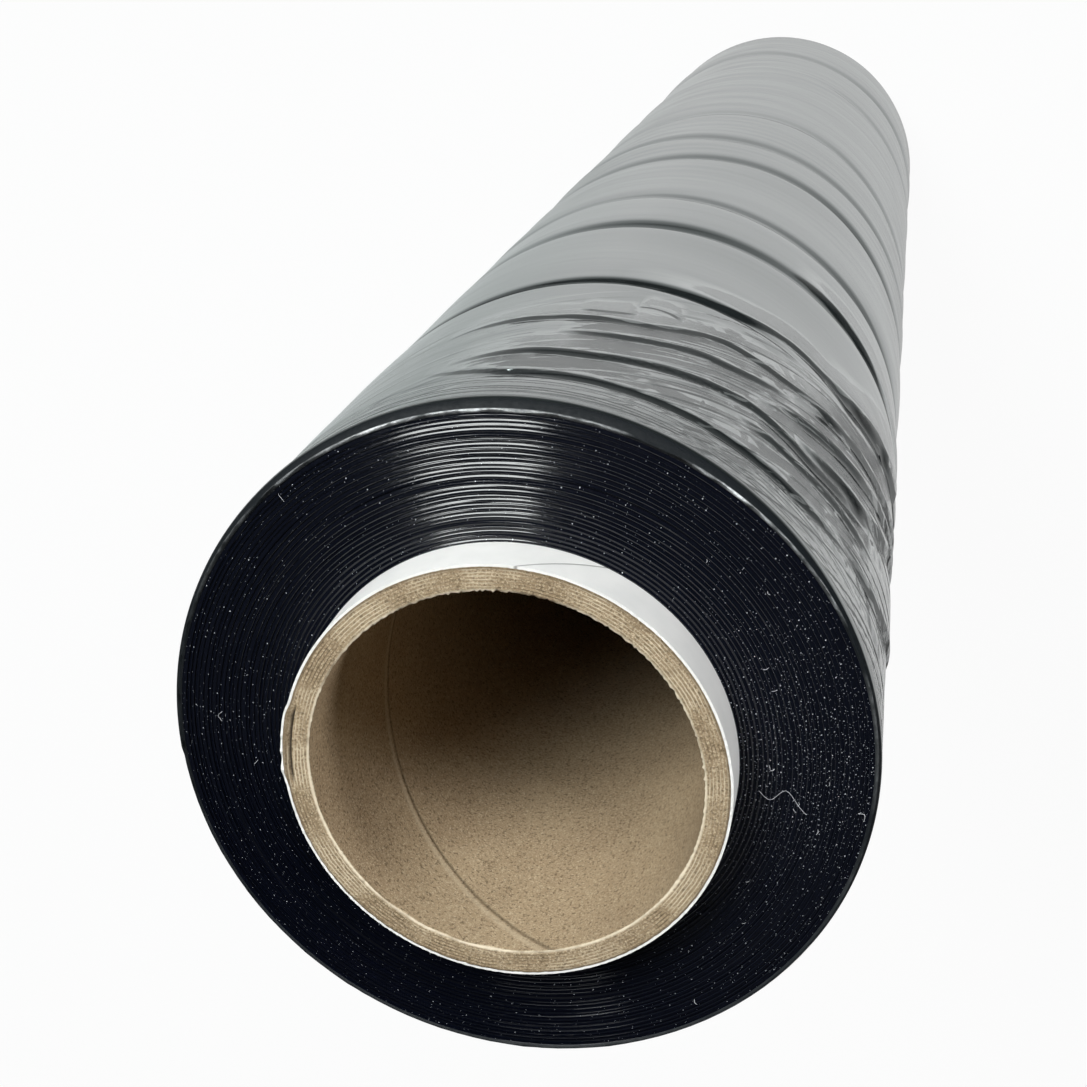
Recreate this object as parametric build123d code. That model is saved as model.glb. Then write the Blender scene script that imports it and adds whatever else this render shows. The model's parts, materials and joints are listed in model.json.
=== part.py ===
from build123d import *
import math
import os

# Hand roll of black stretch film wound on a spiral paper core.
# Millimetres. The roll stands on one end of its core: +Z runs up along the roll's axis and the origin
# is the centre of the core's lower end.

# Paper core: kraft board plies under one white outer ply
core_bore_diameter = 50.8
board_wall = 3.15
outer_ply_thickness = 0.35
core_stick_out = 7.5

# Wound film
film_width = 450.0
film_diameter = 93.0

# Rings that the edges of the turns draw on both ends of the film
turn_ring_pitch = 1.35
turn_valley_depth = 0.4
turn_crest_share = 0.12
turn_unevenness = 0.35
turn_beat = 2.4

# Rim: a smooth band outside the rings, with its edge broken where it meets the film's outside
rim_band_width = 1.6
rim_edge = 0.7

# Gauge grooves, where thin lanes of the film let the turns sink: distance below the upper edge of
# the film, width and depth of each
gauge_grooves = [
    (13.0, 4.0, 0.25),
    (66.0, 8.0, 0.75),
    (112.0, 9.0, 0.55),
    (138.0, 9.0, 0.55),
    (189.0, 11.0, 0.6),
    (217.0, 11.0, 0.55),
    (256.0, 12.0, 0.45),
    (350.0, 16.0, 0.4),
    (397.0, 16.0, 0.5),
]

# Sizes that follow
core_bore_radius = core_bore_diameter / 2
board_outer_radius = core_bore_radius + board_wall
core_radius = board_outer_radius + outer_ply_thickness
core_length = film_width + 2 * core_stick_out
film_radius = film_diameter / 2
film_bottom = core_stick_out
film_top = film_bottom + film_width
ring_outer_radius = film_radius - rim_band_width


def tube(inner_radius, outer_radius, length):
    """Plain tube on the axis, standing on the plane z = 0."""
    with BuildPart() as part:
        with BuildSketch():
            Circle(outer_radius)
            Circle(inner_radius, mode=Mode.SUBTRACT)
        extrude(amount=length)
    return part.part


def turn_ring_points(end_height, into_film):
    """Zigzag of one end of the film, from the core outwards: crests lie in the end's plane."""
    ring_count = max(1, round((ring_outer_radius - core_radius) / turn_ring_pitch))
    ring_width = (ring_outer_radius - core_radius) / ring_count
    points = []
    for ring in range(ring_count):
        inner = core_radius + ring * ring_width
        depth = turn_valley_depth * (1 + turn_unevenness * math.sin(turn_beat * ring))
        points.append((inner, end_height + into_film * depth))
        points.append((inner + turn_crest_share * ring_width, end_height))
    return points


def groove_points():
    """Outside of the film from the lower edge up, with a shallow valley at each gauge groove."""
    points = []
    for below_top, width, depth in reversed(gauge_grooves):
        height = film_top - below_top
        if height - width / 2 > film_bottom + rim_edge:
            points.append((film_radius, height - width / 2))
            points.append((film_radius - depth, height))
            points.append((film_radius, height + width / 2))
    return points


def film_section():
    """Half section of the wound film: ringed ends, broken rim edges and a grooved outside."""
    lower_rim = (film_radius - rim_edge, film_bottom)
    lower_side = (film_radius, film_bottom + rim_edge)
    upper_side = (film_radius, film_top - rim_edge)
    upper_rim = (film_radius - rim_edge, film_top)
    lower_end = [*turn_ring_points(film_bottom, 1), lower_rim, lower_side]
    upper_end = [*turn_ring_points(film_top, -1), upper_rim, upper_side]
    with BuildSketch(Plane.XZ) as section:
        with BuildLine():
            Polyline(*lower_end, *groove_points(), *reversed(upper_end), close=True)
        make_face()
    return section.sketch


core_tube = tube(core_bore_radius, board_outer_radius, core_length)
core_outer_ply = tube(board_outer_radius, core_radius, core_length)
film_roll = revolve(film_section(), Axis.Z)

nodes = {
    "core_tube": core_tube,
    "core_outer_ply": core_outer_ply,
    "film_roll": film_roll,
}
os.makedirs("parts", exist_ok=True)
for name, solid in nodes.items():
    export_step(solid, f"parts/{name}.step")
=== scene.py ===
import json
import math
from collections import namedtuple

import bpy
import numpy as np
from mathutils import Matrix, Vector

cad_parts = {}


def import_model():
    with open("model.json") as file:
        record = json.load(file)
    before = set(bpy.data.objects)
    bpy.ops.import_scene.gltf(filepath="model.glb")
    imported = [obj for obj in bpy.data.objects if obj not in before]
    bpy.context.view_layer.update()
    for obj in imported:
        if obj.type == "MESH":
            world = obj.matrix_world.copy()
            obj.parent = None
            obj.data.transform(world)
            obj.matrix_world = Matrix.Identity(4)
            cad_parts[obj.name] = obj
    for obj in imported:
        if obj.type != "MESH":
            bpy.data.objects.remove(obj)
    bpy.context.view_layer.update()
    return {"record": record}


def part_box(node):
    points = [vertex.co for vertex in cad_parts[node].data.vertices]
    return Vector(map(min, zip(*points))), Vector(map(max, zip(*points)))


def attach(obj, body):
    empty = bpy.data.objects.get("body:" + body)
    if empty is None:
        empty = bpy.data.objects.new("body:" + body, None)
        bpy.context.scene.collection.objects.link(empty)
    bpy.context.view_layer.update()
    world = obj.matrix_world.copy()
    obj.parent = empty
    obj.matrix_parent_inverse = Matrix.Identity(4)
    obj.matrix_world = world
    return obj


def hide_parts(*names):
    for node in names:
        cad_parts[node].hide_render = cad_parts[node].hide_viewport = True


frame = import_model()

# Lengths are metres; MM turns a real size in millimetres into metres.
# Angles run round the roll's axis from the -Y side, which faces up in the photograph, towards +X.
MM = 0.001
DEG = math.pi / 180
TURN = 2 * math.pi

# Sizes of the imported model
FILM_BOTTOM, FILM_TOP = (corner.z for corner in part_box("film_roll"))
FILM_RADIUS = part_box("film_roll")[1].x
BOARD_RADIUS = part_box("core_tube")[1].x
CORE_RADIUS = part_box("core_outer_ply")[1].x
CORE_BOTTOM, CORE_TOP = (corner.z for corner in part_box("core_tube"))
BORE_RADIUS = frame["record"]["mounts"][0]["dims"]["r_mm"] * MM

# Columns of the ring-shaped meshes
FILM_ANGLES = np.radians(np.concatenate([np.arange(-100, 140, 1.25), np.arange(140, 260, 3)]))
CORE_ANGLES = np.linspace(-math.pi, math.pi, 480, endpoint=False)

# Film: rings that the edges of its turns draw on the ends
UPPER_RINGS = 28
LOWER_RINGS = 8
RING_HEIGHT = 0.24 * MM
RING_WANDER = 0.07 * MM
RING_SHARES = (0.0, 0.3, 0.62, 0.95)

# Film: its materials, in the order of its mesh
SIDE, END, LIP, STEP = 0, 1, 2, 3

# Film: upper rim, flared on one side, with its profile as (mm below the upper edge, share of the
# flare, share of the inset)
RIM_FLARE = 0.8 * MM
RIM_FLARE_ANGLE = 15 * DEG
RIM_FLARE_SPREAD = 45 * DEG
RIM_INSET = 0.5 * MM
RIM_NARROW_ANGLE = -45 * DEG
RIM_NARROW_SPREAD = 25 * DEG
RIM_NARROWING = 0.6
RIM_PROFILE = [
    (3.4, 0.0, 0.0),
    (2.6, 0.45, 0.0),
    (1.9, 0.9, 0.0),
    (1.4, 1.0, 0.05),
    (0.9, 0.85, 0.2),
    (0.4, 0.45, 0.55),
    (0.12, 0.1, 0.92),
    (0.05, 0.0, 1.0),
]
RIM_EDGE = 0.7 * MM

# Film: torn lip along the rim, with how white it is as (angle in degrees, share); the white is a painted
# highlight where the rim catches the light
LIP_HEIGHT = 0.35 * MM
LIP_WIDTH = 0.4 * MM
LIP_PAINTED_HIGHLIGHT = [
    (-100, 0.0), (-60, 0.1), (-38, 0.35), (-27, 0.5), (-17, 0.6), (-15, 1.0), (-7, 1.0), (-5, 0.25),
    (4, 0.3), (12, 0.6), (20, 0.8), (26, 1.0), (46, 1.0), (52, 0.5), (70, 0.15), (100, 0.0),
]

# Film: gauge grooves as (below the upper edge, width, depth) in mm and the shares of the depth on
# the photograph's left and right
GAUGE_GROOVES = [
    (13.5, 2.6, 0.4, 0.3, 0.3),
    (67.5, 5.0, 1.0, 0.9, 0.0),
    (112.0, 8.0, 0.9, 0.9, 1.0),
    (138.0, 8.0, 0.9, 0.9, 1.0),
    (189.0, 10.0, 1.0, 1.0, 1.2),
    (217.0, 10.0, 0.9, 1.0, 1.2),
    (256.0, 11.0, 0.8, 0.45, 1.2),
    (350.0, 14.0, 0.7, 0.1, 1.2),
    (397.0, 14.0, 0.9, 0.9, 1.2),
]

# Film: folds near the upper end, each as its width in mm and its points as (angle in degrees, mm
# below the upper edge); the mesh has the wider ones as low steps, and the material has sharp ridges
# along them all, with a gentle back that reaches a fixed length and some widths more
FOLDS = [
    (
        1.7,
        [(20, 68), (8, 67.5), (-3, 67.9), (-17, 71.4), (-26, 72.3), (-36, 77.7), (-49, 85), (-88, 130)],
    ),
    (2.8, [(-24, 72), (-33, 74.4), (-40, 80.6), (-48, 86.3), (-56, 89.3), (-90, 108)]),
    (1.4, [(46, 39.5), (35, 43.5), (21, 44.2), (9, 45), (-3, 51), (-16, 51), (-31, 54), (-38, 55.3)]),
    (1.5, [(24, 35), (11, 36.2), (0, 40), (-7, 41), (-20, 46.3)]),
    (1.8, [(40, 21.3), (27, 24.4), (15, 24.3), (1, 27.8), (-12, 31), (-26, 30.2), (-35, 34), (-50, 43)]),
    (2.8, [(-18, 32), (-28, 33.7), (-34, 36.7), (-40, 38.4), (-45, 42.4), (-53, 49.2), (-88, 92)]),
    (1.5, [(43, 18.8), (28, 14.5), (16, 13.7), (-5, 13.5), (-24, 14.1), (-45, 19)]),
    (1.7, [(-10, 23.6), (-19, 24.4), (-24, 25.1), (-29, 26.4), (-34, 28), (-39, 29.4), (-48, 33)]),
    (
        2.2,
        [(-10, 35), (-15, 36.4), (-19, 40), (-24, 41.5), (-33, 46), (-39, 48.9), (-51, 57.7), (-88, 95)],
    ),
    (2.0, [(-15, 46), (-22, 49.6), (-27, 53), (-32, 55.5), (-42, 61), (-49, 66.1), (-88, 100)]),
    (1.8, [(-11, 113), (-30, 114), (-51, 111.6), (-88, 113)]),
    (2.0, [(-32, 17.2), (-38, 19.4), (-44, 21), (-50, 23.9), (-56, 28.1), (-90, 58)]),
    (1.1, [(23, 49), (18, 48.3), (12, 49.6)]),
    (1.1, [(13, 54), (9, 54.6), (4, 52.6)]),
]
FOLD_HEIGHT_SHARE = 0.25
LEAST_STEP = 1.2
RIDGE_SLOPE = 0.7
RIDGE_BACK = (3 * MM, 5.0)
RIDGE_WIGGLE = 1.2 * MM

# Film: small folds between them, as features per metre round and along the roll and their lean, with
# the middle and the reach of the stretch that has them
SMALL_FOLD_HEIGHT = 1.4 * MM
SMALL_FOLD_SCALE = (17, 260)
SMALL_FOLD_LEAN = -0.5
SMALL_FOLD_ANGLE = -46 * DEG
SMALL_FOLD_SPREAD = (60 * DEG, 25 * DEG)
SMALL_FOLD_REACH = (72 * MM, 45 * MM)
SMALL_FOLD_LEAST = 0.05

# Film: other marks in its outside
RIM_LINE_DEPTH = 0.16 * MM
DASH_HEIGHT = 0.2 * MM
STREAK_HEIGHTS = (0.03 * MM, 0.008 * MM)
UNEVENNESS = 0.12 * MM

# Film: free end of the outermost turn, a step along the roll that eases away before and after it
TAIL_ANGLE = 119 * DEG
TAIL_STEP = 0.35 * MM
TAIL_LEAN = 6 * DEG
TAIL_WANDER = 1.2 * DEG
TAIL_BEFORE = (0.8, 40 * DEG)
TAIL_AFTER = (0.6, 25 * DEG)

# Film: dust on the upper end as a least share, and patches as (share, angle, spread)
DUST_LEAST = 0.12
DUST_PATCHES = [(0.8, -66 * DEG, 28 * DEG), (0.16, 130 * DEG, 45 * DEG)]
DUST_BELOW = 0.02

# Rows up the film's outside
RIM_FOOT = 4.2 * MM
FOLDED_HEIGHT = 94 * MM
FOLDED_STEP = 0.75 * MM
GROOVE_STEP = 1.0 * MM
PLAIN_STEP = 5.0 * MM

# Core: plies of the board, and helical seams as (height at angle 0, rise per turn)
BOARD_PLIES = 7
BORE_SEAM = (385.4 * MM, 132 * MM)
OUTER_SEAM = (458.2 * MM, 132 * MM)

# Core: loose plies at one place of the upper end
LOOSE_PLY_ANGLE = 108 * DEG
LOOSE_PLY_SPREAD = (13 * DEG, 8 * DEG)
LOOSE_PLY_LIFT = 0.35 * MM
LOOSE_STEP = 16
SLIT_DEPTH = 0.9 * MM

# Core: relief of the cut ends, and rows down the bore and down the white ply in mm below the upper end
CUT_INSET = 0.08 * MM
CUT_FUZZ = 0.035 * MM
FRAY_RISE = 0.05 * MM
FRAY_REACH = 0.06 * MM
BORE_EDGE_ROUND = 0.12 * MM
BORE_DENTS = 0.06 * MM
BORE_ROWS = (0.4, 0.9, 2.0, 4.0, 8.0, 15.0, 30.0, 60.0, 120.0, 240.0, 400.0, 462.0, 464.5)
PLY_ROWS = (450.0, 9.0, 6.0, 4.5, 3.0, 2.0, 1.0)
PLY_INSET = 0.12 * MM
PLY_TEAR = 0.4 * MM

# Lint on the upper end, as points in mm
LINT = [
    [(-30.1, -9.5), (-31.9, -9.0), (-33.1, -11.1), (-35.5, -9.8), (-36.7, -9.2)],
    [(-42.4, -12.4), (-43.2, -12.6), (-43.5, -11.7)],
    [(37.6, 13.2), (37.9, 14.0), (37.2, 14.5)],
    [(30.8, 17.7), (31.1, 18.6)],
    [(40.3, -19.5), (39.3, -18.9)],
]
LINT_RADIUS = 0.03 * MM
SHORT_FIBRES = 14

# Colours, dark and light where there are two
FILM_SIDE_TONES = ((0.005, 0.007, 0.0075), (0.01, 0.0125, 0.013))
FILM_END_TONES = ((0.0012, 0.0018, 0.0045), (0.0022, 0.003, 0.007))
FILM_STEP_TONES = ((0.001, 0.0013, 0.003), (0.003, 0.0036, 0.006))
# The lip's light tone is a painted highlight along the rim.
FILM_LIP_BLACK_AND_HIGHLIGHT = ((0.006, 0.008, 0.01), (0.68, 0.7, 0.71))
DUST = (0.5, 0.52, 0.55)
FINE_DUST = (0.25, 0.26, 0.28)
BOARD_TONES = ((0.315, 0.227, 0.138), (0.425, 0.32, 0.2))
BOARD_CUT = (0.2, 0.145, 0.085)
BOARD_GRAIN = (0.62, 0.51, 0.355)
BOARD_FLECK = (0.11, 0.075, 0.042)
BOARD_LINE_TONES = ((0.1, 0.07, 0.04), (0.66, 0.57, 0.42))
# Pale frayed fibres at the bore's edge, partly a painted highlight along that edge.
BOARD_FRAY_AND_HIGHLIGHT = (0.72, 0.63, 0.48)
BOARD_SEAM_TONES = ((0.07, 0.05, 0.03), (0.56, 0.46, 0.32))
# Painted shade: near black in the slit under the loose plies.
BOARD_SLIT_SHADE = (0.025, 0.018, 0.012)
PAPER_TONES = ((0.88, 0.875, 0.86), (0.80, 0.80, 0.79))
PAPER_CUT = (0.42, 0.34, 0.23)
PAPER_SEAM = (0.22, 0.21, 0.2)
LINT_TONES = ((0.35, 0.36, 0.38), (0.75, 0.76, 0.78))

# Floor: how white it shows itself, and how bright it is in reflections, near the roll from one side to
# the other and far from it
FLOOR_SIZE = 12
FLOOR_GAP = 0.5 * MM
FLOOR_COLOUR = (0.80, 0.85, 0.845, 1)
FLOOR_WHITE = 0.95
FLOOR_SIDES = (0.02, 0.2)
FLOOR_NEAR = (0.66, 0.15)
FLOOR_FADE = (0.22, 0.6)
FLOOR_FAR = 0.06

# Room: its light, and a paler wall low on one side
ROOM_COLOUR = (0.9, 0.95, 1.0, 1)
ROOM_STRENGTH, WALL_STRENGTH = 0.06, 0.12

# Lights: distance from the film's upper end, the key's place, size and power, and the fills as (name,
# direction, width, depth, power)
LIGHT_DISTANCE = 1.2
KEY_SWING = 8 * DEG
KEY_NEAR_EDGE = (0.263, -0.557, 0.788)
KEY_SIDEWAYS = (0.957, 0.265, -0.123)
KEY_HALF_WIDTH = 11.5 * DEG
KEY_LENGTH = 0.6
KEY_POWER = 16.5
KEY_COLOUR = (0.965, 1.0, 0.99)
FILL_SPREAD = 40 * DEG
FILL_LIGHTS = [
    ("side", (-0.97, -0.17, 0.16), 1.2, 0.2, 0.65),
    ("front", (0.12, -0.82, 0.56), 0.5, 0.4, 0.46),
]

# Camera
CAMERA_PLACE = (0.0, -116.98 * MM, 656.0 * MM)
CAMERA_RIGHT = (-0.9105, -0.3641, -0.1962)
CAMERA_AHEAD = (0.0337, 0.4074, -0.9126)
CAMERA_LENS = 58.71
CAMERA_SENSOR = 36


def waves(angle, along, seed, turns, lengths, count=24):
    """Smooth noise of about unit size: plane waves that close round the axis."""
    draw = np.random.default_rng(seed)
    total = 0.0
    for _ in range(count):
        around = draw.integers(turns[0], turns[1] + 1)
        rate = TURN / draw.uniform(*lengths) * draw.choice((-1, 1))
        total = total + np.cos(around * angle + rate * along + draw.uniform(0, TURN))
    return total * math.sqrt(2 / count)


def ripple(angle, seed, turns):
    """Smooth noise round the axis only."""
    return waves(angle, 0.0, seed, turns, (1, 2), 12)


def smooth_step(low, high, value):
    share = np.clip((value - low) / (high - low), 0, 1)
    return share * share * (3 - 2 * share)


def from_angle(angle, middle):
    """Signed angle from a middle, within half a turn."""
    return (angle - middle + math.pi) % TURN - math.pi


# One row of a ring-shaped mesh: the strip from it to the next row has its material, and is smooth
# unless it is flat
Row = namedtuple("Row", "radius height material mark flat", defaults=(0, 0.0, False))


def ring_mesh(name, rows, angles, materials):
    """Closed ring of quads from rows in order round its section."""
    columns = len(angles)
    radius = np.array([np.broadcast_to(row.radius, columns) for row in rows])
    height = np.array([np.broadcast_to(row.height, columns) for row in rows])
    mark = np.array([np.broadcast_to(row.mark, columns) for row in rows])
    corners = np.stack([radius * np.sin(angles), -radius * np.cos(angles), height], axis=-1)
    row, column = np.meshgrid(np.arange(len(rows)), np.arange(columns), indexing="ij")
    next_row = (row + 1) % len(rows)
    next_column = (column + 1) % columns
    quads = np.stack(
        [
            row * columns + column,
            row * columns + next_column,
            next_row * columns + next_column,
            next_row * columns + column,
        ],
        axis=-1,
    )
    mesh = bpy.data.meshes.new(name)
    mesh.from_pydata(corners.reshape(-1, 3).tolist(), [], quads.reshape(-1, 4).tolist())
    for material in materials:
        mesh.materials.append(material)
    indices = np.repeat([row.material for row in rows], columns).astype(np.int32)
    mesh.polygons.foreach_set("material_index", indices)
    mesh.polygons.foreach_set("use_smooth", np.repeat([not row.flat for row in rows], columns))
    attribute = mesh.attributes.new("mark", "FLOAT", "POINT")
    attribute.data.foreach_set("value", mark.ravel().astype(np.float32))
    mesh.update()
    piece = bpy.data.objects.new(name, mesh)
    bpy.context.scene.collection.objects.link(piece)
    return piece


# Shader helpers


def new_material(name):
    material = bpy.data.materials.new(name)
    material.use_nodes = True
    tree = material.node_tree
    return material, tree, tree.nodes["Principled BSDF"]


def add(tree, kind, inputs=None, **settings):
    """New node with its settings, and its inputs set to values or linked to sockets."""
    made = tree.nodes.new(kind)
    for key, value in settings.items():
        setattr(made, key, value)
    for socket, value in (inputs or {}).items():
        if isinstance(value, bpy.types.NodeSocket):
            tree.links.new(value, made.inputs[socket])
        else:
            made.inputs[socket].default_value = value
    return made


def place(tree):
    return add(tree, "ShaderNodeTexCoord").outputs["Object"]


def scaled_place(tree, scale):
    return add(tree, "ShaderNodeVectorMath", {0: place(tree), 1: scale}, operation="MULTIPLY").outputs[0]


def noise(tree, scale, detail=4.0, rough=0.55):
    """Noise with its own scale along X, Y and Z, in features per metre."""
    inputs = {"Vector": scaled_place(tree, scale), "Scale": 1.0, "Detail": detail, "Roughness": rough}
    return add(tree, "ShaderNodeTexNoise", inputs).outputs["Fac"]


def calc(tree, operation, first, second=0.0):
    return add(tree, "ShaderNodeMath", {0: first, 1: second}, operation=operation).outputs[0]


def ramp(tree, value, low, high, to_low=0.0, to_high=1.0, kind="LINEAR"):
    inputs = {"Value": value, "From Min": low, "From Max": high, "To Min": to_low, "To Max": to_high}
    return add(tree, "ShaderNodeMapRange", inputs, interpolation_type=kind).outputs["Result"]


def mix_colour(tree, share, first, second):
    mixer = add(tree, "ShaderNodeMix", {"Factor": share}, data_type="RGBA")
    for socket, value in (("A", first), ("B", second)):
        target = [s for s in mixer.inputs if s.name == socket and s.type == "RGBA"][0]
        if isinstance(value, bpy.types.NodeSocket):
            tree.links.new(value, target)
        else:
            target.default_value = (*value, 1.0)
    return [s for s in mixer.outputs if s.type == "RGBA"][0]


def bump(tree, height, distance, strength=1.0, below=None):
    inputs = {"Height": height, "Distance": distance, "Strength": strength}
    if below is not None:
        inputs["Normal"] = below
    return add(tree, "ShaderNodeBump", inputs).outputs["Normal"]


def mark_value(tree):
    return add(tree, "ShaderNodeAttribute", attribute_name="mark").outputs["Fac"]


def axis_distance(tree):
    """Distance from the roll's axis, in metres."""
    flat = scaled_place(tree, (1, 1, 0))
    return add(tree, "ShaderNodeVectorMath", {0: flat}, operation="LENGTH").outputs["Value"]


def roll_angle(tree):
    """Angle round the roll's axis from the -Y side."""
    parts = add(tree, "ShaderNodeSeparateXYZ", {0: place(tree)})
    back = calc(tree, "MULTIPLY", parts.outputs["Y"], -1.0)
    return calc(tree, "ARCTAN2", parts.outputs["X"], back)


def seam_distance(tree, seam):
    """Distance along the axis from the nearest turn of a helical seam, in metres."""
    height_at_zero, rise = seam
    parts = add(tree, "ShaderNodeSeparateXYZ", {0: place(tree)})
    angle = roll_angle(tree)
    turns = calc(tree, "MULTIPLY", calc(tree, "SUBTRACT", parts.outputs["Z"], height_at_zero), 1 / rise)
    phase = calc(tree, "SUBTRACT", turns, calc(tree, "MULTIPLY", angle, 1 / TURN))
    centred = calc(tree, "SUBTRACT", calc(tree, "FRACT", calc(tree, "ADD", phase, 0.5)), 0.5)
    return calc(tree, "MULTIPLY", centred, rise)


# Materials


def unrolled(tree, along_scale, across_scale, lean):
    """Place on the unrolled film: round the roll and along it, leaning, in features per metre."""
    parts = add(tree, "ShaderNodeSeparateXYZ", {0: place(tree)})
    round_it = calc(tree, "MULTIPLY", roll_angle(tree), FILM_RADIUS)
    leaning = calc(tree, "ADD", parts.outputs["Z"], calc(tree, "MULTIPLY", round_it, lean))
    along = calc(tree, "MULTIPLY", round_it, along_scale)
    across = calc(tree, "MULTIPLY", leaning, across_scale)
    return add(tree, "ShaderNodeCombineXYZ", {"X": along, "Y": across}).outputs[0]


def thin_lines(tree, vector, width):
    """Thin wandering lines: where a stretched noise crosses its middle value."""
    inputs = {"Vector": vector, "Scale": 1.0, "Detail": 1.0, "Roughness": 0.5}
    value = add(tree, "ShaderNodeTexNoise", inputs, noise_dimensions="2D").outputs["Fac"]
    offset = calc(tree, "ABSOLUTE", calc(tree, "SUBTRACT", value, 0.5))
    return ramp(tree, offset, 0.0, width, 1.0, 0.0)


def small_folds(tree):
    """Leaning terraces with steep edges, as a share of their height."""
    vector = unrolled(tree, *SMALL_FOLD_SCALE, SMALL_FOLD_LEAN)
    inputs = {"Vector": vector, "Scale": 1.0, "Detail": 1.5, "Roughness": 0.5}
    value = add(tree, "ShaderNodeTexNoise", inputs, noise_dimensions="2D").outputs["Fac"]
    return ramp(tree, value, 0.44, 0.58, -0.5, 0.5)


def curve_value(tree, value, points):
    """Smooth curve through points, of a value within their range."""
    node = add(tree, "ShaderNodeFloatCurve", {"Value": value})
    node.mapping.use_clip = False
    curve = node.mapping.curves[0]
    for number, (x, y) in enumerate(points):
        if number < 2:
            curve.points[number].location = (x, y)
        else:
            curve.points.new(x, y)
    node.mapping.update()
    return node.outputs[0]


def fold_ridges(tree, below, wiggle, thickness):
    """Height of sharp ridges along the folds: steep towards the upper end, gentle behind."""
    angle = roll_angle(tree)
    wandering = calc(tree, "ADD", below, wiggle)
    sharpness = calc(tree, "DIVIDE", 1.0, thickness)
    total = 0.0
    for width, points in FOLDS:
        line = curve_value(tree, angle, [(a * DEG, b * MM) for a, b in points[::-1]])
        past = calc(tree, "SUBTRACT", wandering, line)
        front = ramp(tree, calc(tree, "MULTIPLY", past, sharpness), -0.5 * width * MM, 0.5 * width * MM)
        reach = RIDGE_BACK[0] + RIDGE_BACK[1] * width * MM
        back = ramp(tree, past, 0.2 * MM, reach, RIDGE_SLOPE * width * MM, 0.0, "SMOOTHSTEP")
        first, last = points[-1][0] * DEG, points[0][0] * DEG
        offset = calc(tree, "ABSOLUTE", calc(tree, "SUBTRACT", angle, (first + last) / 2))
        fade = ramp(tree, offset, 0.6 * (last - first) / 2, 0.98 * (last - first) / 2, 1.0, 0.0)
        ridge = calc(tree, "MULTIPLY", calc(tree, "MULTIPLY", front, back), fade)
        total = calc(tree, "ADD", total, ridge)
    return total


def below_upper_edge(tree):
    """Distance below the film's upper edge, in metres."""
    parts = add(tree, "ShaderNodeSeparateXYZ", {0: place(tree)})
    return calc(tree, "SUBTRACT", FILM_TOP, parts.outputs["Z"])


def film_relief(tree, below, dents, faint):
    """Height of the folds, lines, dashes and streaks in the film's outside, in metres."""
    folded = mark_value(tree)
    wander = noise(tree, (110, 110, 110), detail=1.5)
    wiggle = ramp(tree, wander, 0.0, 1.0, -RIDGE_WIGGLE, RIDGE_WIGGLE)
    patches = noise(tree, (160, 160, 60), detail=2.0)
    thickness = ramp(tree, patches, 0.3, 0.7, 0.6, 1.4)
    heights = fold_ridges(tree, below, wiggle, thickness)
    under_rim = ramp(tree, below, 3.5 * MM, 5 * MM)
    near_rim = calc(tree, "MULTIPLY", ramp(tree, below, 9 * MM, 15 * MM, 1.0, 0.0), under_rim)
    rim_lines = thin_lines(tree, unrolled(tree, 6, 480, 0.03), 0.1)
    strokes = calc(tree, "MULTIPLY", small_folds(tree), ramp(tree, patches, 0.36, 0.56, 0.15, 1.0))
    dashes = ramp(tree, dents, 0.64, 0.68)
    for marks, share, height in (
        (rim_lines, near_rim, -RIM_LINE_DEPTH),
        (strokes, folded, SMALL_FOLD_HEIGHT),
        (dashes, folded, DASH_HEIGHT),
    ):
        marked = calc(tree, "MULTIPLY", calc(tree, "MULTIPLY", marks, share), height)
        heights = calc(tree, "ADD", heights, marked)
    streaks = calc(tree, "MULTIPLY", faint, ramp(tree, below, 70 * MM, 140 * MM, *STREAK_HEIGHTS))
    return calc(tree, "ADD", heights, streaks)


def film_side_material():
    """Glossy black film, with sharp folds and fine lines near its upper end."""
    material, tree, shader = new_material("film_side")
    below = below_upper_edge(tree)
    dents = noise(tree, (240, 240, 700), detail=2.0)
    faint = noise(tree, (25, 25, 380), detail=2.0)
    heights = film_relief(tree, below, dents, faint)
    tree.links.new(bump(tree, heights, 1.0), shader.inputs["Normal"])
    tone = mix_colour(tree, ramp(tree, dents, 0.35, 0.7), *FILM_SIDE_TONES)
    tree.links.new(tone, shader.inputs["Base Color"])
    far_blur = ramp(tree, below, 60 * MM, 200 * MM, 0.1, 0.2)
    rim_blur = ramp(tree, below, 3.4 * MM, 5 * MM, 0.32, 0.0)
    blur = calc(tree, "MAXIMUM", far_blur, rim_blur)
    rough = calc(tree, "ADD", blur, ramp(tree, faint, 0.3, 0.7, -0.03, 0.04))
    tree.links.new(rough, shader.inputs["Roughness"])
    facing = add(tree, "ShaderNodeLayerWeight", {"Blend": 0.5}).outputs["Facing"]
    tree.links.new(ramp(tree, facing, 0.7, 0.92, 1.0, 0.4), shader.inputs["Specular IOR Level"])
    tree.links.new(ramp(tree, facing, 0.7, 0.92, 1.0, 0.15), shader.inputs["Coat Weight"])
    shader.inputs["Coat IOR"].default_value = 1.4
    shader.inputs["Specular Tint"].default_value = (0.88, 1.0, 0.99, 1)
    shader.inputs["Coat Roughness"].default_value = 0.06
    return material


def specks(tree, spacing, size):
    """Dust specks, as many as the mark asks for: spacing in metres, size as a share of it."""
    inputs = {"Vector": place(tree), "Scale": 1 / spacing}
    cells = add(tree, "ShaderNodeTexVoronoi", inputs, voronoi_dimensions="2D")
    draw = add(tree, "ShaderNodeSeparateXYZ", {0: cells.outputs["Color"]})
    chosen = calc(tree, "LESS_THAN", draw.outputs["X"], mark_value(tree))
    reach = ramp(tree, draw.outputs["Y"], 0.0, 1.0, 0.5 * size, 1.3 * size)
    dot = calc(tree, "LESS_THAN", cells.outputs["Distance"], reach)
    return calc(tree, "MULTIPLY", dot, chosen)


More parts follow.
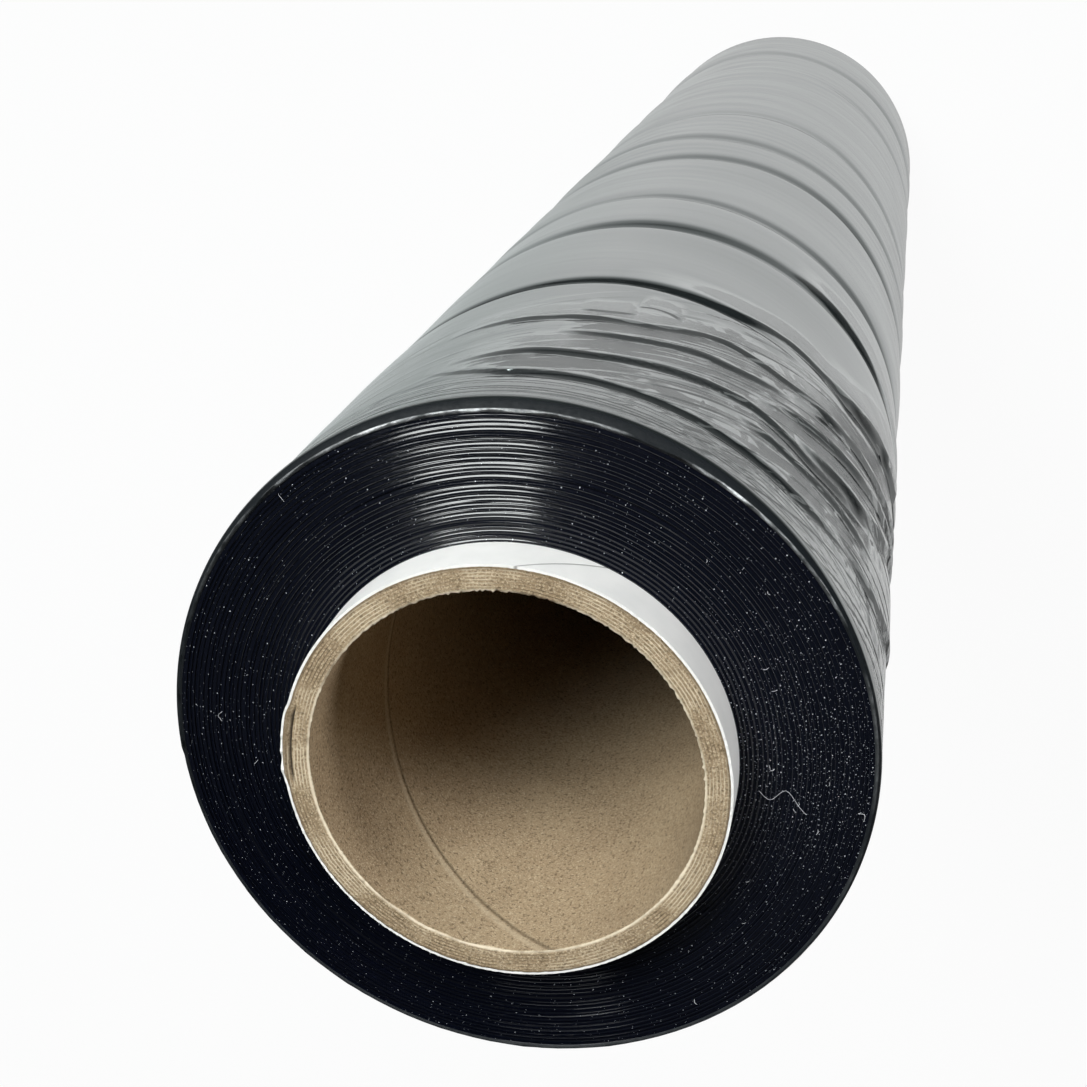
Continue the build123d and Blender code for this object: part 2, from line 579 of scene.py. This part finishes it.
def film_end_material():
    """Black film edges: fine rings round the axis and specks of dust, duller at the back."""
    material, tree, shader = new_material("film_end")
    wander = noise(tree, (120, 120, 120), detail=2.0)
    turns = calc(tree, "ADD", calc(tree, "MULTIPLY", axis_distance(tree), 1 / (0.23 * MM)), wander)
    rings = calc(tree, "SINE", calc(tree, "MULTIPLY", turns, TURN))
    grain = noise(tree, (2500, 2500, 2500), detail=2.0)
    normal = bump(tree, rings, 0.02 * MM, 0.2)
    tree.links.new(normal, shader.inputs["Normal"])
    tone = mix_colour(tree, ramp(tree, grain, 0.3, 0.7), *FILM_END_TONES)
    tone = mix_colour(tree, specks(tree, 1.0 * MM, 0.06), tone, DUST)
    tone = mix_colour(tree, specks(tree, 0.5 * MM, 0.085), tone, FINE_DUST)
    tree.links.new(tone, shader.inputs["Base Color"])
    tree.links.new(ramp(tree, grain, 0.3, 0.7, 0.1, 0.16), shader.inputs["Roughness"])
    turned = calc(tree, "ABSOLUTE", roll_angle(tree))
    gloss = ramp(tree, turned, 110 * DEG, 150 * DEG, 0.5, 0.08)
    tree.links.new(gloss, shader.inputs["Specular IOR Level"])
    return material


def film_step_material():
    """Matt black edge between two turns."""
    material, tree, shader = new_material("film_step")
    grain = noise(tree, (1800, 1800, 1800), detail=2.0)
    tone = mix_colour(tree, grain, *FILM_STEP_TONES)
    tree.links.new(tone, shader.inputs["Base Color"])
    shader.inputs["Roughness"].default_value = 0.7
    shader.inputs["Specular IOR Level"].default_value = 0.1
    return material


def film_lip_material():
    """Torn film edge: black, with a painted highlight in white where the mark asks for it."""
    material, tree, shader = new_material("film_lip")
    patches = noise(tree, (140, 140, 140), detail=5.0)
    scuffs = noise(tree, (1500, 1500, 1500), detail=3.0)
    scuffed = ramp(tree, scuffs, 0.3, 0.6, 0.4, 1.0)
    # The mark carries the painted highlight: white painted on the lip in patches where the rim catches
    # the light.
    share = calc(tree, "MULTIPLY", ramp(tree, patches, 0.38, 0.58), scuffed)
    share = calc(tree, "MULTIPLY", share, mark_value(tree))
    tone = mix_colour(tree, share, *FILM_LIP_BLACK_AND_HIGHLIGHT)
    tree.links.new(tone, shader.inputs["Base Color"])
    tree.links.new(bump(tree, scuffs, 0.1 * MM, 0.6), shader.inputs["Normal"])
    tree.links.new(ramp(tree, scuffs, 0.3, 0.7, 0.55, 0.8), shader.inputs["Roughness"])
    shader.inputs["Specular IOR Level"].default_value = 0.3
    return material


def board_lines(tree, on_end):
    """Shares of light lines, dark lines and pale fraying on the board's cut ends; the pale fraying at
    the bore's edge is also a painted highlight on that edge.
    """
    wander = noise(tree, (160, 160, 160), detail=4.0)
    patchy = noise(tree, (110, 110, 110), detail=3.0)
    radius = axis_distance(tree)
    ply = (BOARD_RADIUS - BORE_RADIUS) / BOARD_PLIES
    wandering = calc(tree, "MULTIPLY", wander, 1.4)
    plies = calc(tree, "ADD", calc(tree, "MULTIPLY", radius, 1 / ply), wandering)
    offset = calc(tree, "ABSOLUTE", calc(tree, "SUBTRACT", calc(tree, "FRACT", plies), 0.5))
    line = calc(tree, "MULTIPLY", ramp(tree, offset, 0.06, 0.22, 0.85, 0.0), on_end)
    light_line = calc(tree, "MULTIPLY", line, ramp(tree, patchy, 0.46, 0.6))
    dark_line = calc(tree, "MULTIPLY", line, ramp(tree, patchy, 0.52, 0.4))
    outer = ramp(tree, radius, BOARD_RADIUS - 0.45 * MM, BOARD_RADIUS - 0.15 * MM, 0.0, 0.6)
    dark_line = calc(tree, "MAXIMUM", dark_line, calc(tree, "MULTIPLY", outer, on_end))
    # Pale frayed fibres at the bore's edge, partly a painted highlight along that edge.
    inner = ramp(tree, radius, BORE_RADIUS + 0.1 * MM, BORE_RADIUS + 0.4 * MM, 0.9, 0.0)
    frayed = calc(tree, "MULTIPLY", calc(tree, "MULTIPLY", inner, on_end), ramp(tree, patchy, 0.35, 0.5))
    return light_line, dark_line, frayed


def bore_seam(tree, in_bore):
    """Shares of the dark line and the light line of the seam in the bore."""
    seam = seam_distance(tree, BORE_SEAM)
    dark = ramp(tree, calc(tree, "ABSOLUTE", seam), 0.1 * MM, 0.6 * MM, 0.5, 0.0)
    beside = calc(tree, "ABSOLUTE", calc(tree, "SUBTRACT", seam, 1.3 * MM))
    light = ramp(tree, beside, 0.2 * MM, 0.9 * MM, 0.5, 0.0)
    return calc(tree, "MULTIPLY", dark, in_bore), calc(tree, "MULTIPLY", light, in_bore)


def board_material():
    """Grey-brown board: sandy grain, mottling, ply lines on the ends and a helical seam in the bore."""
    material, tree, shader = new_material("core_board")
    grain = noise(tree, (4200, 4200, 4200), detail=3.0, rough=0.6)
    flecks = noise(tree, (2400, 2400, 2400), detail=3.0, rough=0.6)
    mottle = noise(tree, (70, 70, 45), detail=5.0)
    mark = mark_value(tree)
    on_end = ramp(tree, mark, 0.0, 1.0)
    # Painted shade: the slit under the loose plies is painted near black.
    slit_and_painted_shade = ramp(tree, mark, 1.05, 1.6, 0.0, 0.95)
    light_line, dark_line, frayed = board_lines(tree, on_end)
    dark_seam, light_seam = bore_seam(tree, ramp(tree, mark, 0.0, 0.2, 1.0, 0.0))
    tone = mix_colour(tree, ramp(tree, mottle, 0.3, 0.7), *BOARD_TONES)
    for share, colour in (
        (calc(tree, "MULTIPLY", on_end, 0.4), BOARD_CUT),
        (ramp(tree, grain, 0.5, 0.66, 0.0, 0.8), BOARD_GRAIN),
        (ramp(tree, flecks, 0.52, 0.66, 0.0, 0.75), BOARD_FLECK),
        (light_line, BOARD_LINE_TONES[1]),
        (dark_line, BOARD_LINE_TONES[0]),
        (frayed, BOARD_FRAY_AND_HIGHLIGHT),
        (light_seam, BOARD_SEAM_TONES[1]),
        (dark_seam, BOARD_SEAM_TONES[0]),
        (slit_and_painted_shade, BOARD_SLIT_SHADE),
    ):
        tone = mix_colour(tree, share, tone, colour)
    tree.links.new(tone, shader.inputs["Base Color"])
    normal = bump(tree, grain, 0.06 * MM, 0.6)
    normal = bump(tree, flecks, 0.06 * MM, 0.4, normal)
    normal = bump(tree, dark_seam, -0.15 * MM, 1.0, normal)
    tree.links.new(normal, shader.inputs["Normal"])
    shader.inputs["Roughness"].default_value = 0.85
    shader.inputs["Specular IOR Level"].default_value = 0.25
    return material


def white_ply_material():
    """White paper with faint grey mottling and one seam."""
    material, tree, shader = new_material("white_ply")
    mottle = noise(tree, (140, 140, 140), detail=5.0)
    fibres = noise(tree, (1500, 1500, 1500), detail=4.0)
    seam = calc(tree, "ABSOLUTE", seam_distance(tree, OUTER_SEAM))
    line = ramp(tree, seam, 0.05 * MM, 0.22 * MM, 0.8, 0.0)
    tone = mix_colour(tree, ramp(tree, mottle, 0.35, 0.7), *PAPER_TONES)
    tone = mix_colour(tree, mark_value(tree), tone, PAPER_CUT)
    tone = mix_colour(tree, line, tone, PAPER_SEAM)
    tree.links.new(tone, shader.inputs["Base Color"])
    normal = bump(tree, fibres, 0.03 * MM, 0.5)
    tree.links.new(bump(tree, line, -0.08 * MM, 1.0, normal), shader.inputs["Normal"])
    shader.inputs["Roughness"].default_value = 0.7
    shader.inputs["Specular IOR Level"].default_value = 0.3
    return material


def lint_material():
    """Pale lint."""
    material, tree, shader = new_material("lint")
    fibres = noise(tree, (800, 800, 800), detail=3.0)
    tree.links.new(mix_colour(tree, fibres, *LINT_TONES), shader.inputs["Base Color"])
    shader.inputs["Roughness"].default_value = 0.8
    return material


# Film roll


def side_heights():
    """Row heights up the film's outside: close where it is folded or grooved, wide elsewhere."""
    below = np.arange(RIM_FOOT, FOLDED_HEIGHT, FOLDED_STEP).tolist()
    for middle, width, *_ in GAUGE_GROOVES:
        reach = 0.6 * width * MM
        if middle * MM > FOLDED_HEIGHT + reach:
            below += np.arange(middle * MM - reach, middle * MM + reach, GROOVE_STEP).tolist()
    close = np.array(below)
    for plain in np.arange(FOLDED_HEIGHT, FILM_TOP - FILM_BOTTOM - RIM_EDGE, PLAIN_STEP):
        if np.abs(close - plain).min() > 0.5 * PLAIN_STEP:
            below.append(plain)
    below.append(FILM_TOP - FILM_BOTTOM - RIM_EDGE)
    return FILM_TOP - np.array(sorted(below, reverse=True))


def fold_change(angle, height):
    """Radial change of the folds: thin steps whose steep side faces the upper end."""
    change = np.zeros(np.broadcast(angle, height).shape)
    for width, points in FOLDS:
        if width < LEAST_STEP:
            continue
        first, last = points[-1][0] * DEG, points[0][0] * DEG
        offset = from_angle(angle, (first + last) / 2)
        along = offset + (first + last) / 2
        below = np.interp(along / DEG, *zip(*points[::-1])) * MM
        fade = smooth_step(1.0, 0.6, np.abs(offset) / ((last - first) / 2))
        size = 0.8 * width * MM
        across = (height - (FILM_TOP - below)) / size
        step = -np.tanh(2.5 * across) * np.exp(-np.abs(across) / 2.0)
        change += FOLD_HEIGHT_SHARE * size * fade * step
    return change


def groove_change(angle, height):
    """Radial change of the gauge grooves, each wandering a little round the roll."""
    change = np.zeros(np.broadcast(angle, height).shape)
    rightness = smooth_step(0.2, -0.5, np.sin(angle))
    for number, (below, width, depth, left, right) in enumerate(GAUGE_GROOVES):
        wander = 0.1 * width * MM * ripple(angle, 40 + number, (1, 5))
        across = (height - (FILM_TOP - below * MM) - wander) / (width / 4 * MM)
        swing = left + (right - left) * rightness
        swing = swing * (0.9 + 0.12 * ripple(angle, 60 + number, (1, 6)))
        change -= depth * MM * swing * np.exp(-across * across)
    return change


def tail_change(angle, height):
    """Radial step where the outermost turn ends, easing away on both sides."""
    lean = TAIL_LEAN * (FILM_TOP - height) / (FILM_TOP - FILM_BOTTOM)
    wander = TAIL_WANDER * waves(0.0, height, 90, (0, 0), (20 * MM, 120 * MM), 10)
    past = from_angle(angle, TAIL_ANGLE + lean + wander)
    rise, ease_before = TAIL_BEFORE
    fall, ease_after = TAIL_AFTER
    before = np.where(past < 0, np.exp(np.minimum(past, 0) / ease_before), 0.0)
    after = np.where(past >= 0, np.exp(-np.maximum(past, 0) / ease_after), 0.0)
    return TAIL_STEP * (rise * before - fall * after)


def fold_strength(angle, below):
    """How strongly small folds mark the film's outside: most near the upper end, on one side."""
    near = smooth_step(*SMALL_FOLD_SPREAD, np.abs(from_angle(angle, SMALL_FOLD_ANGLE)))
    side = SMALL_FOLD_LEAST + (1 - SMALL_FOLD_LEAST) * near
    return smooth_step(*SMALL_FOLD_REACH, below) * side


def side_rows():
    angle, height = FILM_ANGLES[None, :], side_heights()[:, None]
    change = groove_change(angle, height) + fold_change(angle, height) + tail_change(angle, height)
    change += UNEVENNESS * waves(angle, height, 3, (0, 4), (30 * MM, 140 * MM))
    strength = fold_strength(angle, FILM_TOP - height)
    return [Row(FILM_RADIUS + c, h, SIDE, s) for c, h, s in zip(change, height, strength)]


def rim_rows():
    """Flared rim from the outside up to the torn lip."""
    offset = from_angle(FILM_ANGLES, RIM_FLARE_ANGLE) / RIM_FLARE_SPREAD
    flare = RIM_FLARE * np.exp(-offset * offset)
    narrowed = from_angle(FILM_ANGLES, RIM_NARROW_ANGLE) / RIM_NARROW_SPREAD
    inset = RIM_INSET * (1 - RIM_NARROWING * np.exp(-narrowed * narrowed))
    rows = []
    for below, flare_share, inset_share in RIM_PROFILE:
        tail = tail_change(FILM_ANGLES, FILM_TOP - below * MM)
        radius = FILM_RADIUS + flare * flare_share - inset * inset_share + tail * (1 - inset_share)
        rows.append(Row(radius, FILM_TOP - below * MM, SIDE if below > 1 else LIP))
    # Painted highlight: the lip is painted white by angle where the rim catches the light, and it stands
    # taller there.
    painted_highlight = np.interp(from_angle(FILM_ANGLES, 0) / DEG, *zip(*LIP_PAINTED_HIGHLIGHT))
    ragged = np.clip(0.55 + 0.4 * ripple(FILM_ANGLES, 21, (10, 120)), 0.1, 1.3)
    lip = LIP_HEIGHT * ragged * (0.3 + 0.7 * painted_highlight)
    inner = FILM_RADIUS - inset
    rows[-1] = rows[-1]._replace(material=LIP, mark=painted_highlight)
    rows.append(Row(inner - 0.2 * LIP_WIDTH, FILM_TOP + lip, LIP, painted_highlight))
    rows.append(Row(inner - 0.6 * LIP_WIDTH * ragged, FILM_TOP + 0.8 * lip, LIP, painted_highlight))
    rows.append(Row(inner - 1.2 * LIP_WIDTH, FILM_TOP - 0.1 * MM, END, 0.02))
    return rows


def upper_dust():
    """Share of dust round the film's upper end."""
    dusty = DUST_LEAST
    for share, angle, spread in DUST_PATCHES:
        dusty = dusty + share * np.exp(-((from_angle(FILM_ANGLES, angle) / spread) ** 2))
    return dusty


def end_rows(count, outer, height, upwards, seed):
    """Rings of one end from the core outwards, lapped like shingles: each falls away outwards."""
    draw = np.random.default_rng(seed)
    dusty = upper_dust() if upwards > 0 else DUST_BELOW
    starts = np.arange(count + 1) / count
    starts[1:-1] += draw.uniform(-0.14, 0.14, count - 1) / count
    rows = []
    for ring in range(count):
        size = draw.uniform(0.75, 1.2)
        for share in RING_SHARES:
            outwards = starts[ring] + share * (starts[ring + 1] - starts[ring])
            radius = CORE_RADIUS + (outer - CORE_RADIUS) * outwards
            wander = RING_WANDER * ripple(FILM_ANGLES, 70 + ring // 5, (1, 7))
            wander = wander * math.sin(math.pi * outwards)
            swing = 1 + 0.08 * ripple(FILM_ANGLES, 80 + ring, (2, 12))
            sunk = RING_HEIGHT * size * swing * share ** 1.6
            level = height - upwards * (sunk + 0.02 * MM)
            rows.append(Row(radius + wander, level, END, dusty))
        rows[-1] = rows[-1]._replace(material=STEP, flat=True)
    return rows


def inwards(rows):
    """Rows in the other direction, with each strip's material and shading kept."""
    strips = [Row(0, 0, STEP, flat=True), *rows[:-1]]
    turned = [row._replace(material=strip.material, flat=strip.flat) for row, strip in zip(rows, strips)]
    return turned[::-1]


def film_piece():
    """Wound film as one closed ring: lower end, outside, rim and upper end."""
    rows = end_rows(LOWER_RINGS, FILM_RADIUS - 2 * RIM_EDGE, FILM_BOTTOM, -1, 5)
    rows.append(Row(FILM_RADIUS - RIM_EDGE, FILM_BOTTOM, END))
    rows.append(Row(FILM_RADIUS - 0.3 * RIM_EDGE, FILM_BOTTOM + 0.3 * RIM_EDGE, SIDE))
    rows += side_rows()
    rows += rim_rows()
    upper = end_rows(UPPER_RINGS, rows[-1].radius, FILM_TOP, 1, 6)
    rows += inwards(upper)
    materials = [film_side_material(), film_end_material(), film_lip_material(), film_step_material()]
    return ring_mesh("wound_film", rows, FILM_ANGLES, materials)


# Paper core


def board_end_rows(height, upwards, raggedness):
    """Cut end of the board from the bore outwards, with a frayed inner edge and one loose outer ply."""
    loose = raggedness * loose_share()
    rows = []
    steps = 3 * BOARD_PLIES
    for step in range(steps + 1):
        share = step / steps
        radius = BORE_RADIUS + share * (BOARD_RADIUS - BORE_RADIUS)
        fuzz = CUT_FUZZ * raggedness * ripple(CORE_ANGLES, 300 + step, (20, 230))
        edge = max(0.0, 1 - 6 * share)
        frayed = raggedness * edge * ripple(CORE_ANGLES, 33, (60, 235))
        rounded = upwards * BORE_EDGE_ROUND * edge * edge
        # The slit's mark, above 1, paints shade into it in the board's material.
        slit_and_painted_shade = loose if step == LOOSE_STEP else 0.0
        slit = upwards * SLIT_DEPTH * slit_and_painted_shade
        lift = LOOSE_PLY_LIFT * loose if step > LOOSE_STEP else 0.0
        top = height - upwards * CUT_INSET + fuzz - rounded + FRAY_RISE * frayed - slit
        rows.append(Row(radius - FRAY_REACH * frayed + lift, top, 0, 1.0 + slit_and_painted_shade))
    return rows


def loose_share():
    """Share of the outer plies' looseness round the upper end."""
    return smooth_step(*LOOSE_PLY_SPREAD, np.abs(from_angle(CORE_ANGLES, LOOSE_PLY_ANGLE)))


def core_tube_piece():
    """Board tube with cut ends and an open bore."""
    rows = board_end_rows(CORE_BOTTOM, -1, 0.0)
    rows.append(Row(BOARD_RADIUS, CORE_BOTTOM + 1 * MM))
    rows.append(Row(BOARD_RADIUS, CORE_TOP - 5 * MM))
    rows += board_end_rows(CORE_TOP, 1, 1.0)[::-1]
    for below in BORE_ROWS:
        dents = BORE_DENTS * ripple(CORE_ANGLES, 350, (2, 30)) * math.exp(-below / 3)
        rows.append(Row(BORE_RADIUS + dents, CORE_TOP - below * MM))
    return ring_mesh("board_tube", rows, CORE_ANGLES, [board_material()])


def outer_ply_piece():
    """White ply round the board, lifted along a short loose stretch of the upper edge."""
    loose = loose_share()
    torn = PLY_TEAR * loose * (0.5 + 0.4 * ripple(CORE_ANGLES, 41, (20, 90)))
    edge = CORE_TOP - PLY_INSET + 0.03 * MM * ripple(CORE_ANGLES, 42, (8, 200)) - torn
    rows = [Row(CORE_RADIUS, CORE_BOTTOM, flat=True)]
    for below in PLY_ROWS:
        lift = LOOSE_PLY_LIFT * loose * max(0.0, 1 - below / 6)
        rows.append(Row(CORE_RADIUS + lift, CORE_TOP - below * MM))
    lift = LOOSE_PLY_LIFT * loose
    rows.append(Row(CORE_RADIUS + lift, edge - 0.05 * MM))
    rows.append(Row(CORE_RADIUS + lift, edge, 0, 0.1, True))
    rows.append(Row(BOARD_RADIUS + lift + 0.02 * MM, edge, 0, 0.1))
    rows.append(Row(BOARD_RADIUS + 0.4 * lift, edge - 3.5 * MM, 0, 0.5))
    rows.append(Row(BOARD_RADIUS, CORE_TOP - 9.0 * MM))
    rows.append(Row(BOARD_RADIUS, CORE_BOTTOM, flat=True))
    return ring_mesh("white_ply", rows, CORE_ANGLES, [white_ply_material()])


# Lint


def tube_along(points, radius, sides=5):
    """Corners and faces of a thin closed tube along points."""
    corners, faces = [], []
    for number, point in enumerate(points):
        ahead = points[min(number + 1, len(points) - 1)] - points[max(number - 1, 0)]
        across = ahead.cross(Vector((0, 0, 1))).normalized()
        over = across.cross(ahead).normalized()
        for side in range(sides):
            turn = TURN * side / sides
            corners.append(point + radius * (math.cos(turn) * across + math.sin(turn) * over))
    for number in range(len(points) - 1):
        for side in range(sides):
            first, second = number * sides + side, number * sides + (side + 1) % sides
            faces.append((first, first + sides, second + sides, second))
    faces.append(tuple(range(sides)))
    faces.append(tuple(range(len(corners) - sides, len(corners)))[::-1])
    return corners, faces


def curved(points):
    """Points of a smooth curve through given points."""
    ends = [points[0], *points, points[-1]]
    curve = []
    for before, start, end, after in zip(ends, ends[1:], ends[2:], ends[3:]):
        for step in range(5):
            t = step / 5
            bend = (end - before) * t + (2 * before - 5 * start + 4 * end - after) * t * t
            curve.append(start + 0.5 * (bend + (3 * start - before - 3 * end + after) * t ** 3))
    return [*curve, points[-1]]


def lint_paths():
    """Fibres seen in the photograph and a few seeded short ones."""
    draw = np.random.default_rng(8)
    paths = [[Vector((x * MM, y * MM, FILM_TOP + LINT_RADIUS)) for x, y in points] for points in LINT]
    for _ in range(SHORT_FIBRES):
        angle = draw.normal(-68, 32) * DEG
        radius = draw.uniform(32, 43) * MM
        middle = Vector((radius * math.sin(angle), -radius * math.cos(angle), FILM_TOP + LINT_RADIUS))
        heading = draw.uniform(0, TURN)
        bend = draw.uniform(-1.2, 1.2)
        reach = draw.uniform(0.2, 0.45) * MM
        start = Vector((math.cos(heading), math.sin(heading), 0)) * reach
        end = Vector((math.cos(heading + bend), math.sin(heading + bend), 0)) * reach
        paths.append([middle - start, middle, middle + end])
    return [curved(path) for path in paths]


def lint_piece(material):
    corners, faces = [], []
    for path in lint_paths():
        tube_corners, tube_faces = tube_along(path, LINT_RADIUS)
        faces += [tuple(index + len(corners) for index in face) for face in tube_faces]
        corners += tube_corners
    mesh = bpy.data.meshes.new("lint")
    mesh.from_pydata(corners, [], faces)
    mesh.materials.append(material)
    piece = bpy.data.objects.new("lint", mesh)
    bpy.context.scene.collection.objects.link(piece)
    return piece


# Stage


def floor():
    """Pale floor that shows white and keeps a soft shadow; mirrored far off, it fades into the room."""
    bpy.ops.mesh.primitive_plane_add(size=FLOOR_SIZE, location=(0, 0, -FLOOR_GAP))
    plane = bpy.context.object
    plane.name = "floor"
    material, tree, shader = new_material("floor")
    shader.inputs["Base Color"].default_value = FLOOR_COLOUR
    shader.inputs["Roughness"].default_value = 0.9
    path = add(tree, "ShaderNodeLightPath")
    mirrored = calc(tree, "ADD", path.outputs["Is Glossy Ray"], path.outputs["Is Transmission Ray"])
    parts = add(tree, "ShaderNodeSeparateXYZ", {0: place(tree)})
    leftwards = calc(tree, "ADD", parts.outputs["X"], parts.outputs["Y"])
    far = calc(tree, "MULTIPLY", mirrored, ramp(tree, axis_distance(tree), *FLOOR_FADE))
    near = calc(tree, "MULTIPLY", mirrored, ramp(tree, leftwards, *FLOOR_SIDES, *FLOOR_NEAR))
    share = calc(tree, "MULTIPLY", path.outputs["Is Camera Ray"], FLOOR_WHITE)
    share = calc(tree, "MAXIMUM", share, calc(tree, "MAXIMUM", near, far))
    strength = ramp(tree, far, 0.0, 1.0, 1.0, FLOOR_FAR)
    glow = add(tree, "ShaderNodeEmission", {"Color": (1, 1, 1, 1), "Strength": strength})
    mixed = add(tree, "ShaderNodeMixShader", {0: share, 1: shader.outputs[0], 2: glow.outputs[0]})
    tree.links.new(mixed.outputs[0], tree.nodes["Material Output"].inputs["Surface"])
    plane.data.materials.append(material)


def key_light():
    """Large soft light up on the photograph's left; its near edge ends the sheen on the film's end."""
    swung = Matrix.Rotation(KEY_SWING, 3, "Z")
    near_edge = swung @ Vector(KEY_NEAR_EDGE).normalized()
    sideways = swung @ Vector(KEY_SIDEWAYS)
    sideways = (sideways - sideways.project(near_edge)).normalized()
    away = near_edge * math.cos(KEY_HALF_WIDTH) + sideways * math.sin(KEY_HALF_WIDTH)
    across = sideways * math.cos(KEY_HALF_WIDTH) - near_edge * math.sin(KEY_HALF_WIDTH)
    light = bpy.data.lights.new("key", "AREA")
    light.shape = "RECTANGLE"
    light.size = 2 * LIGHT_DISTANCE * math.tan(KEY_HALF_WIDTH)
    light.size_y = KEY_LENGTH
    light.energy = KEY_POWER
    light.color = KEY_COLOUR
    lamp = bpy.data.objects.new("key", light)
    turn = Matrix((across, away.cross(across), away)).transposed()
    spot = Vector((0, 0, FILM_TOP)) + away * LIGHT_DISTANCE
    lamp.matrix_world = Matrix.Translation(spot) @ turn.to_4x4()
    bpy.context.scene.collection.objects.link(lamp)


def fill_light(name, away, width, depth, energy):
    """Soft light that lifts the paper and stays out of the film's reflections."""
    away = Vector(away).normalized()
    light = bpy.data.lights.new(name, "AREA")
    light.shape = "RECTANGLE"
    light.size = width
    light.size_y = depth
    light.energy = energy
    light.spread = FILL_SPREAD
    lamp = bpy.data.objects.new(name, light)
    lamp.visible_glossy = False
    lamp.location = Vector((0, 0, FILM_TOP)) + LIGHT_DISTANCE * away
    lamp.rotation_euler = away.to_track_quat("Z", "Y").to_euler()
    bpy.context.scene.collection.objects.link(lamp)


def world():
    """Dim studio, with a pale wall low on the photograph's right, and white where it shows."""
    surroundings = bpy.data.worlds.new("studio")
    bpy.context.scene.world = surroundings
    surroundings.use_nodes = True
    tree = surroundings.node_tree
    towards = add(tree, "ShaderNodeTexCoord").outputs["Generated"]
    parts = add(tree, "ShaderNodeSeparateXYZ", {0: towards})
    low = ramp(tree, parts.outputs["Z"], 0.15, 0.6, 1.0, 0.0)
    side = ramp(tree, parts.outputs["X"], -0.4, -0.9)
    wall = calc(tree, "MULTIPLY", low, side)
    strength = ramp(tree, wall, 0.0, 1.0, ROOM_STRENGTH, WALL_STRENGTH)
    dim = tree.nodes["Background"]
    dim.inputs["Color"].default_value = ROOM_COLOUR
    tree.links.new(strength, dim.inputs["Strength"])
    white = add(tree, "ShaderNodeBackground", {"Color": (1, 1, 1, 1), "Strength": 1.0})
    seen = add(tree, "ShaderNodeLightPath").outputs["Is Camera Ray"]
    mixed = add(tree, "ShaderNodeMixShader", {0: seen, 1: dim.outputs[0], 2: white.outputs[0]})
    tree.links.new(mixed.outputs[0], tree.nodes["World Output"].inputs["Surface"])


def camera():
    """Camera at the photograph's viewpoint, looking down on the upper end."""
    data = bpy.data.cameras.new("camera")
    data.sensor_width = CAMERA_SENSOR
    data.lens = CAMERA_LENS
    data.clip_start = 0.01
    eye = bpy.data.objects.new("camera", data)
    right = Vector(CAMERA_RIGHT).normalized()
    ahead = Vector(CAMERA_AHEAD).normalized()
    turn = Matrix((right, right.cross(ahead), -ahead)).transposed()
    eye.matrix_world = Matrix.Translation(CAMERA_PLACE) @ turn.to_4x4()
    bpy.context.scene.collection.objects.link(eye)
    bpy.context.scene.camera = eye


def stand_for(piece, node):
    """The piece shows in place of a node, which is hidden, and hangs from the root body."""
    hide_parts(node)
    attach(piece, "root")


camera()
stand_for(film_piece(), "film_roll")
stand_for(core_tube_piece(), "core_tube")
stand_for(outer_ply_piece(), "core_outer_ply")
lint = lint_piece(lint_material())
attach(lint, "root")
floor()
key_light()
for fill in FILL_LIGHTS:
    fill_light(*fill)
world()
bpy.context.scene.view_settings.view_transform = "Standard"
